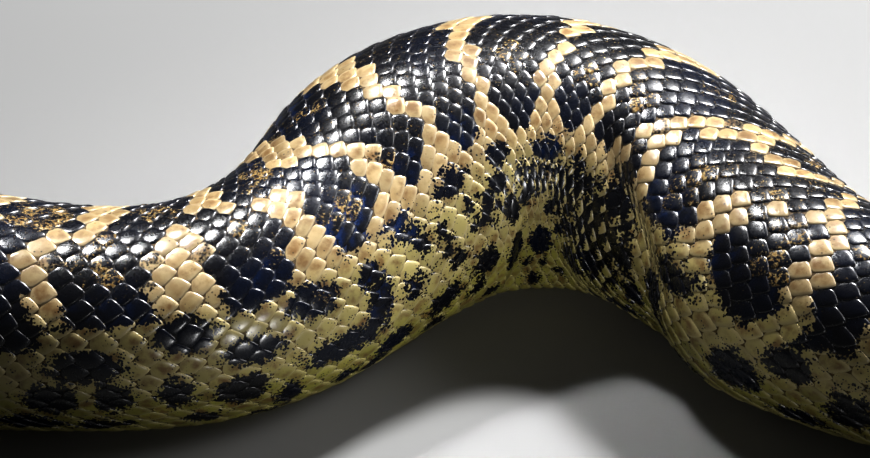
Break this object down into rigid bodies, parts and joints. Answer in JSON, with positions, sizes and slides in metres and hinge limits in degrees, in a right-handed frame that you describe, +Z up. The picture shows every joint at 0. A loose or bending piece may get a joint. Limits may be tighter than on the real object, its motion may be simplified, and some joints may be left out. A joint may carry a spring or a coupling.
{
  "type": "python skin body section",
  "caption": "Thick scaled snake body section lying in one sideways bend, dark blotches with gold specks on a tan net, skin folded inside the bend, flat resting underside, plain cut ends.",
  "frame": {"origin": "middle of the bounding box in X and Y, on the resting plane", "axes": "+X from the head-side cut towards the tail-side cut, +Z up through the back, -Y towards the inside of the bend"},
  "size_m": [0.536, 0.2882, 0.1533],
  "materials": {
    "skin": "glossy overlapping scales, near-black blotches on tan"
  },
  "bodies": {
    "root": {"hide": "skin"}
  },
  "joints": []
}
